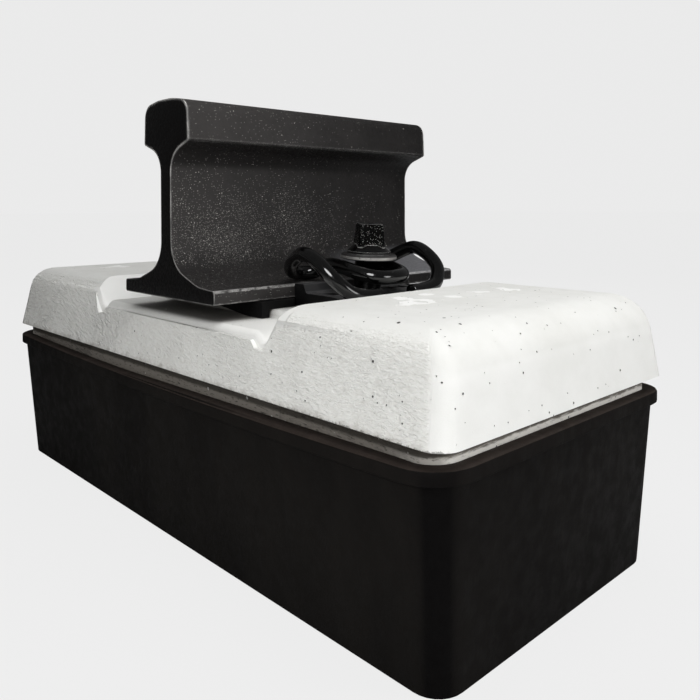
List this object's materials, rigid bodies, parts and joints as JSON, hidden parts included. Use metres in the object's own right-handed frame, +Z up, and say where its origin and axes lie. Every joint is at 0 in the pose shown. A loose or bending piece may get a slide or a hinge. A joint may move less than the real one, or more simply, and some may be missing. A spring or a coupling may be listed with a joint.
{
  "type": "booted concrete sleeper block with rail fastening",
  "caption": "Concrete sleeper block standing in a rubber boot, with a short rail held across it by screwed bent-bar tension clamps on angled guide plates.",
  "frame": {"origin": "middle of the boot's underside, the face the block stands on", "axes": "+X along the block, +Y along the rail, +Z up; the rail's centre line is 16 mm to the +X side of the origin"},
  "size_m": [0.6594, 0.309, 0.3841],
  "materials": {
    "boot_rubber": "matte black moulded rubber",
    "pad_rubber": "matte black",
    "concrete": "pale cast concrete with pores",
    "rail_steel": "dark satin coating",
    "plate_plastic": "black moulded plastic",
    "clamp_steel": "gloss black coating",
    "washer_steel": "dull grey steel",
    "screw_steel": "rough forged black",
    "dowel_plastic": "dark plastic"
  },
  "bodies": {
    "root": {"rubber_boot": "boot_rubber", "block_pad": "pad_rubber", "concrete_block": "concrete", "rail_pad": "pad_rubber", "rail": "rail_steel", "guide_plate_right": "plate_plastic", "tension_clamp_right": "clamp_steel", "washer_right": "washer_steel", "sleeper_screw_right": "screw_steel", "screw_dowel_right": "dowel_plastic", "guide_plate_left": "plate_plastic", "tension_clamp_left": "clamp_steel", "washer_left": "washer_steel", "sleeper_screw_left": "screw_steel", "screw_dowel_left": "dowel_plastic"}
  },
  "joints": []
}
